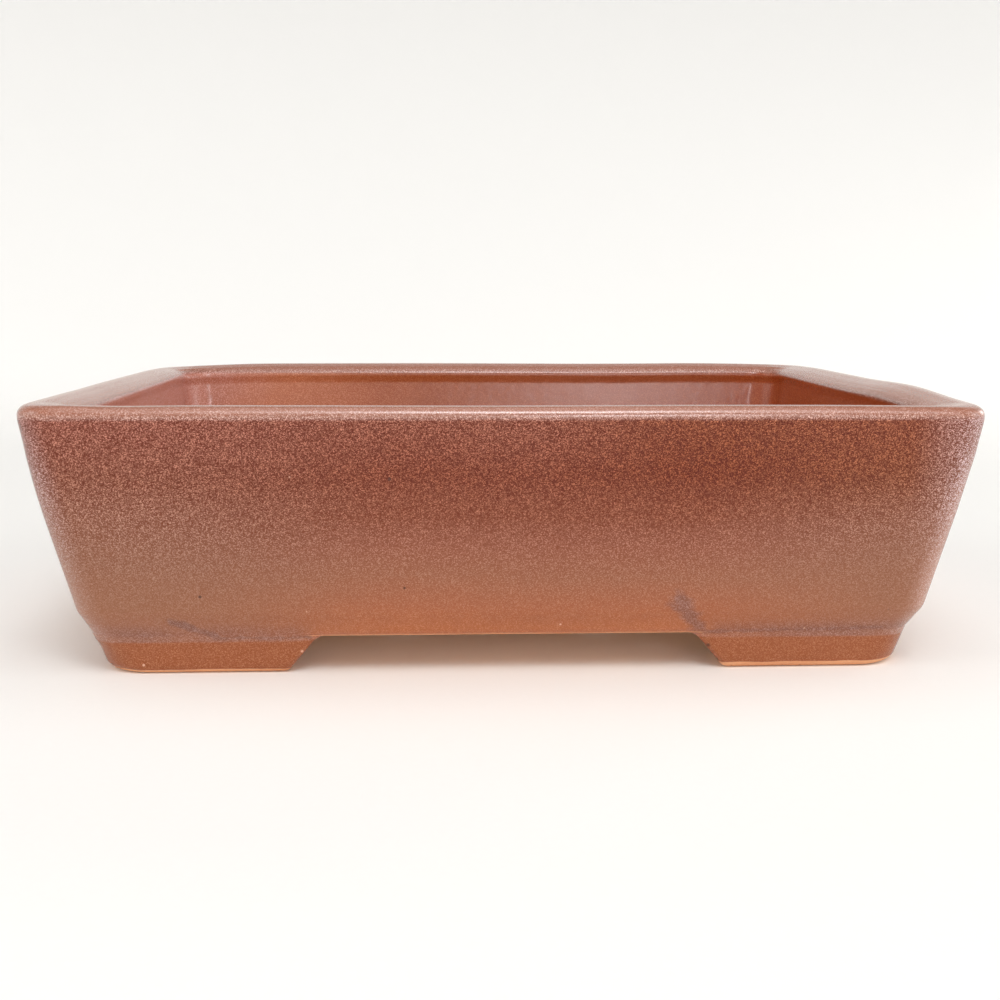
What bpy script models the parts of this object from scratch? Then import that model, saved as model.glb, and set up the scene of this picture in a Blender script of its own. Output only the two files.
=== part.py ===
"""Rectangular bonsai pot: the potter's clay pieces and the screens over its drain holes.

Run it with blender --background --python part.py, or from Blender's text editor.
Metres, +Z up. The origin is on the table under the middle of the pot, +X runs along the long
side, and the front is at -Y. Each upright side is placed by its inset, which is how far it
stands inside the outermost line of the rim.
"""

import math

import bmesh
import bpy
from mathutils import Vector

MM = 0.001
GAP = 0.3 * MM  # kept between pieces that touch

# Driving dimensions
LENGTH = 181 * MM
WIDTH = 138 * MM
HEIGHT = 54.1 * MM

# Walls: slabs that lean out from the foot line to the rim
WALL_BASE = 7.5 * MM
WALL_TOP = 50.4 * MM
WALL_THICKNESS = 7 * MM
WALL_LEAN = 0.19  # inset gained for each metre of height lost
LEDGE_RADIUS = 4 * MM  # the rounded lower edge that overhangs the feet
OUTER_CORNER = 7.5 * MM
INNER_CORNER = 5.5 * MM

# Rim: a strip whose top slopes down towards the inside
RIM_BASE = WALL_TOP + GAP
RIM_INNER_INSET = 8.7 * MM
RIM_CREST_INSET = 2.2 * MM
RIM_DROP = 1.7 * MM
RIM_EDGE_RADIUS = 2.4 * MM
LIP_RADIUS = 0.9 * MM

# Floor: a slab held inside the foot of the walls
FLOOR_THICKNESS = 6 * MM
FLOOR_TOP = WALL_BASE + FLOOR_THICKNESS
DRAIN_RADIUS = 9.5 * MM
DRAIN_X = 42 * MM
WIRE_HOLE_RADIUS = 2 * MM
WIRE_HOLE_X = 21 * MM
WIRE_HOLE_Y = 30 * MM

# Feet: four brackets, one round each corner, with slanted inner ends
FOOT_TOP = WALL_BASE - GAP
FOOT_TOP_INSET = 9.9 * MM
FOOT_BASE_INSET = 11.7 * MM
FOOT_THICKNESS = 11 * MM
FOOT_SOLE_RADIUS = 1.2 * MM
FRONT_GAP_BASE = 43 * MM  # half the gap between two feet, at the table
SIDE_GAP_BASE = 29 * MM
FOOT_END_SLANT = 6.1 * MM  # how much narrower that gap is at the top of the feet

# Drain screens and the wire clips that hold them
SCREEN_CELLS = 9
SCREEN_PITCH = 3.6 * MM
SCREEN_STRAND = 0.9 * MM
SCREEN_THICKNESS = 1 * MM
WIRE_RADIUS = 0.7 * MM
CLIP_LEG_X = 2 * SCREEN_PITCH  # the legs go down through the second cells from the middle one
CLIP_LOOP_RADIUS = 3.4 * MM
CLIP_LOOP_TURN = math.radians(300)
CLIP_BEND_RADIUS = 1.6 * MM
CLIP_LEG_REACH = 18 * MM  # from the middle of the hole to the end of a bent leg

CORNER_STEPS = 6
EDGE_STEPS = 4
HOLE_SIDES = 32
CUT_MARGIN = 1 * MM  # how far a cutter passes through what it cuts

GLAZE = (0.30, 0.105, 0.058)
BARE_CLAY = (0.62, 0.33, 0.17)
SCREEN_PLASTIC = (0.03, 0.035, 0.03)
ALUMINIUM = (0.70, 0.70, 0.72)


def new_collection(name):
    collection = bpy.data.collections.new(name)
    bpy.context.scene.collection.children.link(collection)
    return collection


def new_material(name, colour, roughness, metallic=0.0):
    material = bpy.data.materials.new(name)
    material.use_nodes = True
    shader = material.node_tree.nodes["Principled BSDF"]
    shader.inputs["Base Color"].default_value = (*colour, 1.0)
    shader.inputs["Roughness"].default_value = roughness
    shader.inputs["Metallic"].default_value = metallic
    return material


def add_object(name, data, collection, material=None):
    obj = bpy.data.objects.new(name, data)
    collection.objects.link(obj)
    if material:
        obj.data.materials.append(material)
    return obj


def wall_inset(z):
    """Inset of the walls' outer faces at height z: none at the top of the walls."""
    return (WALL_TOP - z) * WALL_LEAN


def level(inset, z):
    """The rectangle at this inset and height, as half its sides and its height."""
    return LENGTH / 2 - inset, WIDTH / 2 - inset, z


def round_level(bm, z, radius):
    """Rounds the edges that lie flat at height z."""
    edges = [e for e in bm.edges if all(math.isclose(v.co.z, z, abs_tol=1e-6) for v in e.verts)]
    bmesh.ops.bevel(bm, geom=edges, offset=radius, segments=EDGE_STEPS, profile=0.5, affect="EDGES")


def block_mesh(name, low, high, corner=0.0, rounded_levels=()):
    """A block between two level rectangles, with its upright edges rounded to the corner radius."""
    bm = bmesh.new()
    bmesh.ops.create_cube(bm, size=2)
    for vert in bm.verts:
        half_x, half_y, z = high if vert.co.z > 0 else low
        vert.co = (vert.co.x * half_x, vert.co.y * half_y, z)
    if corner:
        upright = [e for e in bm.edges if abs(e.verts[0].co.z - e.verts[1].co.z) > CUT_MARGIN]
        bmesh.ops.bevel(
            bm, geom=upright, offset=corner, segments=CORNER_STEPS, profile=0.5, affect="EDGES"
        )
    for z, radius in rounded_levels:
        round_level(bm, z, radius)
    bmesh.ops.recalc_face_normals(bm, faces=bm.faces)
    mesh = bpy.data.meshes.new(name)
    bm.to_mesh(mesh)
    bm.free()
    return mesh


def add_cutter(name, mesh, collection):
    cutter = add_object(name, mesh, collection)
    cutter.hide_render = True
    cutter.display_type = "WIRE"
    return cutter


def cylinder_mesh(name, radius, z_low, z_high):
    bm = bmesh.new()
    bmesh.ops.create_cone(
        bm, cap_ends=True, segments=HOLE_SIDES, radius1=radius, radius2=radius, depth=z_high - z_low
    )
    bmesh.ops.translate(bm, verts=bm.verts, vec=(0, 0, (z_low + z_high) / 2))
    mesh = bpy.data.meshes.new(name)
    bm.to_mesh(mesh)
    bm.free()
    return mesh


def boolean(obj, cutter, operation="DIFFERENCE"):
    modifier = obj.modifiers.new(cutter.name, "BOOLEAN")
    modifier.operation = operation
    modifier.solver = "EXACT"
    modifier.object = cutter


def evaluated_copy(obj):
    """The object's mesh with its modifiers applied."""
    bpy.context.view_layer.update()
    graph = bpy.context.evaluated_depsgraph_get()
    return bpy.data.meshes.new_from_object(obj.evaluated_get(graph))


def smooth(mesh):
    mesh.shade_smooth()
    mesh.set_sharp_from_angle(angle=math.radians(35))


def keep_side(bm, point, normal):
    """Cuts the solid at a plane, drops what the normal points at, and closes the cut."""
    geometry = [*bm.verts, *bm.edges, *bm.faces]
    bmesh.ops.bisect_plane(bm, geom=geometry, plane_co=point, plane_no=normal, clear_outer=True)
    bmesh.ops.edgeloop_fill(bm, edges=[e for e in bm.edges if e.is_boundary])


def add_walls(collection, cutters, glaze):
    """Four slabs, mitred on the diagonals of the corners, cut from one leaning ring."""
    ring = add_cutter(
        "wall_ring",
        block_mesh(
            "wall_ring",
            level(wall_inset(WALL_BASE), WALL_BASE),
            level(0, WALL_TOP),
            OUTER_CORNER,
            [(WALL_BASE, LEDGE_RADIUS)],
        ),
        cutters,
    )
    low, high = WALL_BASE - CUT_MARGIN, WALL_TOP + CUT_MARGIN
    cavity = add_cutter(
        "cavity",
        block_mesh(
            "cavity",
            level(wall_inset(low) + WALL_THICKNESS, low),
            level(wall_inset(high) + WALL_THICKNESS, high),
            INNER_CORNER,
        ),
        cutters,
    )
    boolean(ring, cavity)
    whole = evaluated_copy(ring)
    for name, outward in (
        ("wall_front", Vector((0, -1, 0))),
        ("wall_right", Vector((1, 0, 0))),
        ("wall_back", Vector((0, 1, 0))),
        ("wall_left", Vector((-1, 0, 0))),
    ):
        bm = bmesh.new()
        bm.from_mesh(whole)
        along = Vector((-outward.y, outward.x, 0))
        for side in (-1, 1):
            towards_corner = outward + side * along
            corner = Vector((LENGTH / 2 * towards_corner.x, WIDTH / 2 * towards_corner.y, 0))
            mitre_normal = (side * along - outward).normalized()
            keep_side(bm, corner - mitre_normal * GAP / 2, mitre_normal)
        mesh = bpy.data.meshes.new(name)
        bm.to_mesh(mesh)
        bm.free()
        smooth(mesh)
        add_object(name, mesh, collection, glaze)


def add_rim(collection, cutters, glaze):
    """One strip round the top of the walls, rounded outside and sloping down to its inner edge."""
    rim = add_object(
        "rim",
        block_mesh(
            "rim",
            level(0, RIM_BASE),
            level(0, HEIGHT),
            OUTER_CORNER,
            [(HEIGHT, RIM_EDGE_RADIUS)],
        ),
        collection,
        glaze,
    )
    mouth = block_mesh(
        "mouth",
        level(RIM_INNER_INSET, RIM_BASE - CUT_MARGIN),
        level(RIM_INNER_INSET, HEIGHT + CUT_MARGIN),
        INNER_CORNER,
    )
    lip = HEIGHT - RIM_DROP
    slope_width = RIM_INNER_INSET - RIM_CREST_INSET
    slope = block_mesh(
        "rim_slope",
        level(RIM_INNER_INSET, lip),
        level(RIM_INNER_INSET - 2 * slope_width, lip + 2 * RIM_DROP),
        INNER_CORNER,
    )
    boolean(rim, add_cutter("mouth", mouth, cutters))
    boolean(rim, add_cutter("rim_slope", slope, cutters))
    smooth(rim.data)


def add_floor(collection, cutters, clay):
    """The slab inside the foot of the walls, with two drain holes and four holes for tie wires."""
    edge = WALL_THICKNESS + GAP
    floor = add_object(
        "floor_slab",
        block_mesh(
            "floor_slab",
            level(wall_inset(WALL_BASE) + edge, WALL_BASE),
            level(wall_inset(FLOOR_TOP) + edge, FLOOR_TOP),
            INNER_CORNER,
        ),
        collection,
        clay,
    )
    low, high = WALL_BASE - CUT_MARGIN, FLOOR_TOP + CUT_MARGIN
    drain = cylinder_mesh("drain_hole", DRAIN_RADIUS, low, high)
    wire_hole = cylinder_mesh("wire_hole", WIRE_HOLE_RADIUS, low, high)
    for side_x in (-1, 1):
        cutter = add_cutter("drain_hole", drain, cutters)
        cutter.location.x = side_x * DRAIN_X
        boolean(floor, cutter)
        for side_y in (-1, 1):
            cutter = add_cutter("wire_hole", wire_hole, cutters)
            cutter.location = (side_x * WIRE_HOLE_X, side_y * WIRE_HOLE_Y, 0)
            boolean(floor, cutter)
    smooth(floor.data)


def half_gap(base, z):
    """Half the gap between two feet at height z: their ends slant, so it narrows upwards."""
    return base - FOOT_END_SLANT * z / FOOT_TOP


def add_feet(collection, cutters, glaze):
    """Four bracket feet: a ring, with a slanted gap cut through the middle of each side."""
    ring = block_mesh(
        "foot_ring",
        level(FOOT_BASE_INSET, 0),
        level(FOOT_TOP_INSET, FOOT_TOP),
        OUTER_CORNER,
        [(0, FOOT_SOLE_RADIUS)],
    )
    smooth(ring)
    inner_inset = FOOT_BASE_INSET + FOOT_THICKNESS
    low, high = -CUT_MARGIN, FOOT_TOP + CUT_MARGIN
    inside = add_cutter(
        "foot_inside",
        block_mesh("foot_inside", level(inner_inset, low), level(inner_inset, high), INNER_CORNER),
        cutters,
    )
    past = LENGTH
    front_gap = block_mesh(
        "front_gap",
        (half_gap(FRONT_GAP_BASE, low), past, low),
        (half_gap(FRONT_GAP_BASE, high), past, high),
    )
    side_gap = block_mesh(
        "side_gap",
        (past, half_gap(SIDE_GAP_BASE, low), low),
        (past, half_gap(SIDE_GAP_BASE, high), high),
    )
    gaps = [add_cutter(mesh.name, mesh, cutters) for mesh in (front_gap, side_gap)]
    for y_name, side_y in (("front", -1), ("back", 1)):
        for x_name, side_x in (("left", -1), ("right", 1)):
            foot = add_object(f"foot_{y_name}_{x_name}", ring.copy(), collection, glaze)
            quarter = add_cutter(
                f"quarter_{y_name}_{x_name}",
                block_mesh("quarter", (past / 2, past / 2, low), (past / 2, past / 2, high)),
                cutters,
            )
            quarter.location = (side_x * past / 2, side_y * past / 2, 0)
            boolean(foot, inside)
            for gap in gaps:
                boolean(foot, gap)
            boolean(foot, quarter, "INTERSECT")


def add_screen(name, x, collection, plastic):
    """A square of plastic netting that lies on the floor over one drain hole."""
    bm = bmesh.new()
    half = SCREEN_CELLS * SCREEN_PITCH / 2
    bmesh.ops.create_grid(bm, x_segments=SCREEN_CELLS, y_segments=SCREEN_CELLS, size=half)
    cells = bm.faces[:]
    bmesh.ops.inset_individual(bm, faces=cells, thickness=SCREEN_STRAND / 2)
    bmesh.ops.delete(bm, geom=cells, context="FACES_ONLY")
    mesh = bpy.data.meshes.new(name)
    bm.to_mesh(mesh)
    bm.free()
    screen = add_object(name, mesh, collection, plastic)
    screen.location = (x, 0, FLOOR_TOP + GAP)
    solidify = screen.modifiers.new("thickness", "SOLIDIFY")
    solidify.thickness = SCREEN_THICKNESS
    solidify.offset = 1.0


def arc(centre, radius, start, turn, steps):
    """Points along an arc in a plane, as (across, up) pairs."""
    angles = (start + turn * step / steps for step in range(steps + 1))
    return [(centre[0] + radius * math.cos(a), centre[1] + radius * math.sin(a)) for a in angles]


def clip_points():
    """Half of the wire, from the end of one bent leg to the middle, about the hole's own axis."""
    top = FLOOR_TOP + SCREEN_THICKNESS + 2 * GAP + WIRE_RADIUS
    under = WALL_BASE - GAP - WIRE_RADIUS
    bend_centre = (CLIP_LEG_X + CLIP_BEND_RADIUS, under + CLIP_BEND_RADIUS)
    bend = arc(bend_centre, CLIP_BEND_RADIUS, -math.pi / 2, -math.pi / 2, 4)
    leg = [(CLIP_LEG_REACH, 0, under)] + [(x, 0, z) for x, z in bend]
    loop_centre = (CLIP_LEG_X + CLIP_LOOP_RADIUS, 0)
    loop = arc(loop_centre, CLIP_LOOP_RADIUS, math.pi, CLIP_LOOP_TURN, 20)
    return leg + [(x, y, top) for x, y in loop]


def add_clip(name, x, hand, collection, aluminium):
    """A wire bent into two loops on the screen, with two legs bent outwards under the floor.

    The hand is 1 or -1: the two clips are mirror images of each other.
    """
    half = [(hand * px, py, z) for px, py, z in clip_points()]
    points = half + [(-px, -py, z) for px, py, z in reversed(half)]
    curve = bpy.data.curves.new(name, "CURVE")
    curve.dimensions = "3D"
    curve.bevel_depth = WIRE_RADIUS
    curve.bevel_resolution = 2
    curve.use_fill_caps = True
    spline = curve.splines.new("POLY")
    spline.points.add(len(points) - 1)
    for point, place in zip(spline.points, points):
        point.co = (*place, 1)
    clip = add_object(name, curve, collection, aluminium)
    clip.location.x = x


def main():
    for obj in list(bpy.data.objects):
        bpy.data.objects.remove(obj)
    pot = new_collection("bonsai_pot")
    cutters = new_collection("cutters")
    glaze = new_material("glaze", GLAZE, 0.3)
    clay = new_material("bare_clay", BARE_CLAY, 0.85)
    plastic = new_material("screen_plastic", SCREEN_PLASTIC, 0.5)
    aluminium = new_material("aluminium", ALUMINIUM, 0.35, 1.0)
    add_walls(pot, cutters, glaze)
    add_rim(pot, cutters, glaze)
    add_floor(pot, cutters, clay)
    add_feet(pot, cutters, glaze)
    for side, hand in (("left", -1), ("right", 1)):
        add_screen(f"drain_screen_{side}", hand * DRAIN_X, pot, plastic)
        add_clip(f"screen_clip_{side}", hand * DRAIN_X, hand, pot, aluminium)


main()
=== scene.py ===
"""Looks for the bonsai pot: glazed clay pieces, bare floor, drain screens, wire clips, and the studio.

Every clay piece is cut from one smooth surface, so that glaze and light run on across the joints,
as they do on a fired pot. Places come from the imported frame. Lengths are in metres.
"""

import math

import bmesh
import bpy
import numpy as np
from mathutils import Matrix, Vector


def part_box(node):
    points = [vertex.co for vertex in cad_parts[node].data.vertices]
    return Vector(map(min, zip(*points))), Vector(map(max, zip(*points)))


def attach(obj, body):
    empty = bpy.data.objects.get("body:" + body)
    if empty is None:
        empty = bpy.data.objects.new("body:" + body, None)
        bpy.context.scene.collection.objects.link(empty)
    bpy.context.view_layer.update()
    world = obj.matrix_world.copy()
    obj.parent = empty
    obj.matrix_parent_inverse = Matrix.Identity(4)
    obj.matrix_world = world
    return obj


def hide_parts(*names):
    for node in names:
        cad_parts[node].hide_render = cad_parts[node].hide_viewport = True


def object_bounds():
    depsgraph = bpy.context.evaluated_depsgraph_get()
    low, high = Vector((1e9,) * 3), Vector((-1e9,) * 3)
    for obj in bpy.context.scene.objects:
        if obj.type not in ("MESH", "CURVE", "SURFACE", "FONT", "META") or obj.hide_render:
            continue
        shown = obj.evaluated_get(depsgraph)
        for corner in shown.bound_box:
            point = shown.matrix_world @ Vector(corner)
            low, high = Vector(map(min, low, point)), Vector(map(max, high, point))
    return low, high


MM = 0.001
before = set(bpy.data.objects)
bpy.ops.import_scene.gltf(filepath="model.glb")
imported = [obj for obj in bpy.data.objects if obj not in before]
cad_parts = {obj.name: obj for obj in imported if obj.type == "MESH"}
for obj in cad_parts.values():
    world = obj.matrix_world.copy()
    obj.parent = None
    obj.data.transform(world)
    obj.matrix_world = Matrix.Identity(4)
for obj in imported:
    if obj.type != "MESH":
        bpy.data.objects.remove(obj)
cad_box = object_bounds()

# Heights and half sizes, from the frame
HIGH = Vector(cad_box[1])
HALF_LENGTH = HIGH.x
HALF_WIDTH = HIGH.y
CREST = HIGH.z
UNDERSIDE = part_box("wall_front")[0].z
RIM_SEAM = (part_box("wall_front")[1].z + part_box("rim")[0].z) / 2
FLOOR_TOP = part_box("floor_slab")[1].z
FOOT_END_SLANT = 6.1 * MM
FRONT_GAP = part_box("foot_front_right")[0].x + FOOT_END_SLANT
SIDE_GAP = -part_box("foot_front_left")[1].y + FOOT_END_SLANT

# Camera
CAMERA_PLACE = Vector((-13.94, -306.1, 74.6)) * MM
CAMERA_PITCH = -0.1619
CAMERA_YAW = -0.0514
CAMERA_ROLL = 0.0038
CAMERA_LENS = 47.2

# Upright corners of the body, outside at the front and back and inside
FRONT_CORNER = 7 * MM
BACK_CORNER = 10 * MM
INNER_CORNER = 7 * MM

# How finely things are divided
LONG_STEPS = 82
SHORT_STEPS = 61
HALF_CORNER_STEPS = 12
SHARP_STEP = 0.01 * MM


# ---------------------------------------------------------------- outlines


def rounded(corners, arc_steps=8, run_steps=1):
    """Points along a line through corners of (inset, height, radius), each turned with an arc.

    An inset is measured inwards from the outermost line of the rim. run_steps is how many steps
    each straight run is divided into, one number or one per run.
    """
    if isinstance(run_steps, int):
        run_steps = [run_steps] * (len(corners) - 1)
    places = [np.array(corner[:2], float) for corner in corners]
    ends = [[places[0]]]
    for before, place, after, corner in zip(places, places[1:], places[2:], corners[1:]):
        into = (place - before) / np.linalg.norm(place - before)
        out = (after - place) / np.linalg.norm(after - place)
        turn = math.acos(np.clip(into @ out, -1, 1))
        radius = corner[2]
        if turn < 1e-4 or radius <= 0:
            ends.append([place - into * SHARP_STEP * step for step in range(arc_steps, -1, -1)])
            continue
        reach = radius * math.tan(turn / 2)
        start = place - into * reach
        side = out - into * (out @ into)
        side /= np.linalg.norm(side)
        centre = start + side * radius
        angles = np.linspace(0, turn, arc_steps + 1)
        ends.append([centre - side * radius * math.cos(a) + into * radius * math.sin(a) for a in angles])
    ends.append([places[-1]])
    points = []
    for run, (first, second) in zip(run_steps, zip(ends, ends[1:])):
        points += first
        gap = second[0] - first[-1]
        points += [first[-1] + gap * step / run for step in range(1, run)]
    return np.array(points + ends[-1])


def smoothstep(low, high, value):
    t = np.clip((value - low) / (high - low), 0, 1)
    return t * t * (3 - 2 * t)


def perimeter():
    """Stations round the pot, anticlockwise from the middle of the front left corner.

    Each is (corner or side place, outward normal), as signs that any ring's half sizes multiply.
    """
    places, normals = [], []
    for quarter, steps in enumerate((LONG_STEPS, SHORT_STEPS, LONG_STEPS, SHORT_STEPS)):
        facing = (quarter - 1) * math.pi / 2
        out = np.array((math.cos(facing), math.sin(facing)))
        along = np.array((-out[1], out[0]))
        for step in range(HALF_CORNER_STEPS):
            angle = facing - math.pi / 4 * (1 - step / HALF_CORNER_STEPS)
            places.append(out - along)
            normals.append((math.cos(angle), math.sin(angle)))
        for step in range(steps + 1):
            places.append(out + along * (2 * step / steps - 1))
            normals.append(out)
        for step in range(1, HALF_CORNER_STEPS):
            angle = facing + math.pi / 4 * step / HALF_CORNER_STEPS
            places.append(out + along)
            normals.append((math.cos(angle), math.sin(angle)))
    return np.array(places), np.array(normals)


def quarter_starts():
    """The index of each side's first station, and the number of stations."""
    counts = [2 * HALF_CORNER_STEPS + steps for steps in (LONG_STEPS, SHORT_STEPS) * 2]
    return np.concatenate(([0], np.cumsum(counts)))


def corner_radius(towards_back):
    """Radius of the body's corners, from -1 at the front to 1 at the back."""
    return FRONT_CORNER + (BACK_CORNER - FRONT_CORNER) * (1 + towards_back) / 2


def ring_points(places, normals, inset, height, inner=0.0):
    """World places for stations (rows) and outline points (columns)."""
    radius = corner_radius(places[:, 1:])
    radius = radius + (INNER_CORNER - radius) * inner
    x = places[:, :1] * (HALF_LENGTH - inset - radius) + normals[:, :1] * radius
    y = places[:, 1:] * (HALF_WIDTH - inset - radius) + normals[:, 1:] * radius
    return np.stack(np.broadcast_arrays(x, y, height), axis=-1)


def foot_share(into_gap):
    """1 over a foot and 0 in the gap between two feet, with a short blend at the foot's end."""
    return 1 - smoothstep(1.5 * MM, 9 * MM, into_gap)


def foot_share_at(x, y, normals):
    faces_front = np.abs(normals[:, 1:]) >= np.abs(normals[:, :1])
    return foot_share(np.where(faces_front, FRONT_GAP - np.abs(x), SIDE_GAP - np.abs(y)))


# ---------------------------------------------------------------- the potter's hand


def bump(value, centre, width):
    return np.exp(-(((value - centre) / width) ** 2))


def hand(points):
    """Unevenness of a hand-built pot, the same for every piece, so that joints stay closed.

    The rim rides up along the right side, the feet stand a little to the right of the rim, clay is
    smoothed over the left feet, and the walls wander slightly.
    """
    x, y, z = points[..., 0], points[..., 1], points[..., 2]
    # Places from -1 to 1: u from left to right, and v from front to back
    u, v = x / HALF_LENGTH, y / HALF_WIDTH
    over = (z - UNDERSIDE) / MM
    right, left = smoothstep(0.5, 1.0, u), smoothstep(0.7, 1.0, -u)
    corners = smoothstep(0.6, 1.0, np.abs(u)) * smoothstep(0.5, 1.0, np.abs(v))

    # How far the rim rises, in millimetres: along the right side, then at the corners
    rise = right * (0.42 * bump(v, 0.0, 0.7) + 0.72 * bump(v, -0.42, 0.27))
    rise = rise - 0.08 * left - 0.22 * corners + 0.05 * np.sin(6.0 * u + 2.0 * v + 0.7)
    rise = rise + 0.15 * smoothstep(0.3, 0.8, u) * smoothstep(0.3, 1.0, v)
    rise = rise - 0.3 * corners * smoothstep(0.0, 1.0, v) - 0.35 * left * smoothstep(-0.3, 0.7, v)
    rise = rise + 0.5 * smoothstep(0.75, 0.95, -u) * smoothstep(0.3, 1.0, -v)
    lift = smoothstep(0.35, 0.95, z / CREST)

    # The shift of the feet, the clay filled in above the left feet, and the lean of the left wall
    drop = 1 - np.clip(z / RIM_SEAM, 0, 1)
    fill = 0.6 * bump(over, -0.3, 1.6) * smoothstep(0.76, 0.88, -u)
    tuck = 0.42 * smoothstep(28.0, 40.0, over) * smoothstep(0.5, 1.0, -u)

    # Slow waves in the walls, always inwards
    squeeze = 0.05 * (1 + np.sin(4.3 * u - 3.1 * v + 1.3 + 2.2 * z / CREST))
    squeeze = squeeze + 0.03 * (1 + np.sin(11.0 * u + 7.0 * v + 5.0 * z / CREST))
    moved = points.copy()
    moved[..., 0] += (0.5 * drop - fill + tuck - u * squeeze) * MM
    moved[..., 1] -= v * squeeze * MM
    moved[..., 2] += rise * lift * MM
    return moved


# ---------------------------------------------------------------- meshes from grids


def grid_normals(points, wrap):
    """Unit normals of a grid of points, pointing out of the clay."""
    if wrap:
        across = np.roll(points, -1, 0) - np.roll(points, 1, 0)
    else:
        across = np.gradient(points, axis=0)
    along = np.gradient(points, axis=1)
    normal = np.cross(across, along)
    return normal / np.maximum(np.linalg.norm(normal, axis=-1, keepdims=True), 1e-12)


def add_piece(name, points, normals, runs, wrap, material):
    """A closed piece whose section is made of runs of the grid's columns.

    The faces between two runs, and the ends of a piece that doesn't wrap, are hidden joints.
    """
    columns = np.concatenate([np.arange(first, last + 1) for first, last in runs])
    run_ends = np.cumsum([last - first + 1 for first, last in runs]) - 1
    rows, width = points.shape[0], len(columns)
    places = points[:, columns].reshape(-1, 3)
    shading = normals[:, columns].reshape(-1, 3)
    steps = rows if wrap else rows - 1
    k, m = np.meshgrid(np.arange(steps), np.arange(width), indexing="ij")
    k2, m2 = (k + 1) % rows, (m + 1) % width
    quads = np.stack((k * width + m, k2 * width + m, k2 * width + m2, k * width + m2), -1)
    hidden = np.isin(m, run_ends).reshape(-1)
    quads = quads.reshape(-1, 4)
    caps = []
    if not wrap:
        for row in (0, rows - 1):
            for face in end_faces(points[row, columns, 2], run_ends):
                caps.append([row * width + place for place in (face[::-1] if row else face)])
    mesh = bpy.data.meshes.new(name)
    mesh.from_pydata(places.tolist(), [], quads.tolist() + caps)
    mesh.polygons.foreach_set("use_smooth", [True] * len(mesh.polygons))
    flat = np.zeros(len(mesh.polygons) * 3)
    mesh.polygons.foreach_get("normal", flat)
    flat = flat.reshape(-1, 3)
    corners = shading[quads]
    corners[hidden] = flat[: len(quads)][hidden][:, None]
    corner_normals = [corners.reshape(-1, 3)]
    for number, cap in enumerate(caps):
        corner_normals.append(np.repeat(flat[len(quads) + number][None], len(cap), 0))
    mark_joints(mesh, np.concatenate((hidden, np.ones(len(caps), bool))))
    mesh.normals_split_custom_set(np.concatenate(corner_normals).tolist())
    mesh.materials.append(material)
    piece = bpy.data.objects.new(name, mesh)
    bpy.context.scene.collection.objects.link(piece)
    return piece


def end_faces(heights, run_ends):
    """Faces that close a section: one for a single run, or level steps between two runs."""
    if len(run_ends) == 1:
        return [list(range(len(heights)))]
    outer = list(range(run_ends[0], -1, -1))
    inner = list(range(run_ends[0] + 1, len(heights)))
    faces = []
    while len(outer) > 1 or len(inner) > 1:
        outer_is_next = len(inner) == 1 or (len(outer) > 1 and heights[outer[1]] >= heights[inner[1]])
        if outer_is_next:
            faces.append([outer[1], outer[0], inner[0]])
            outer.pop(0)
        else:
            faces.append([outer[0], inner[0], inner[1]])
            inner.pop(0)
    return faces


def mark_joints(mesh, hidden):
    """Sharp edges all round the hidden faces, so that they don't bend the shading beside them."""
    counts = np.zeros(len(mesh.polygons), int)
    mesh.polygons.foreach_get("loop_total", counts)
    edges = np.zeros(len(mesh.loops), int)
    mesh.loops.foreach_get("edge_index", edges)
    sharp = np.zeros(len(mesh.edges), bool)
    sharp[edges[np.repeat(hidden, counts)]] = True
    mesh.edges.foreach_set("use_edge_sharp", sharp)


def stand_in(piece, node):
    """The piece rides on the pot and stands for a CAD node."""
    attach(piece, "root")
    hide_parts(node)
    return piece


# ---------------------------------------------------------------- clay

WALL_INNER_END = 14.4 * MM
COVE_INSET = 13.3 * MM
COVE_TOP = UNDERSIDE + 9 * MM
FOOT_TOP_INSET = 9.8 * MM
FOOT_BASE_INSET = 11.3 * MM
OPEN_EDGE_INSET = 12.0 * MM
FOOT_DEPTH = 11 * MM
FOOT_SINK = 0.1 * MM  # how far the buried edge of a foot is let into the floor
FOOT_BASE_CORNER = 2 * MM  # how much rounder a foot's outer corner is at the sole
FOOT_INNER_CORNER = 5 * MM
FOOT_FILLET = 2 * MM  # between a foot's inner face and the floor
SOLE_INNER_EDGE = 1.2 * MM
SOLE_OUTER_EDGE = 2.2 * MM
FOOT_LONG_STEPS = 12
FOOT_SHORT_STEPS = 9
INNER_BLEND_STEPS = 18  # from the crest, until the corners have the inside's radius


def above(inset, height, radius=0.0):
    """An outline's corner, from millimetres of inset and of height above the pot's underside."""
    return inset * MM, UNDERSIDE + height * MM, radius * MM


def wall_outline(over_foot):
    """From the underside up the outer wall and over the rim, down to the cove inside."""
    if over_foot:
        base = [above(9.82, 0), above(9.7, 0.45, 1.4)]
    else:
        base = [above(12.0, 0), above(9.7, 0, 2.6)]
    wall = [above(7.2, 5.0, 6.0), above(3.1, 24.5, 60), above(1.0, 35.7, 30), above(0, 42.6, 6)]
    rim = [above(0, 45.22, 1.9), above(3.2, 45.5, 5), above(6.2, 44.75, 6), above(8.75, 43.5, 1.9)]
    rim += [above(8.55, 42.1, 2), above(8.3, 40.7, 4)]
    corners = [(WALL_INNER_END, UNDERSIDE, 0), *base, *wall, *rim, (COVE_INSET, COVE_TOP, 0)]
    return rounded(corners, arc_steps=8, run_steps=[4, 1, 1, 12, 7, 4, 2, 1, 1, 1, 1, 1, 22])


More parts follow.
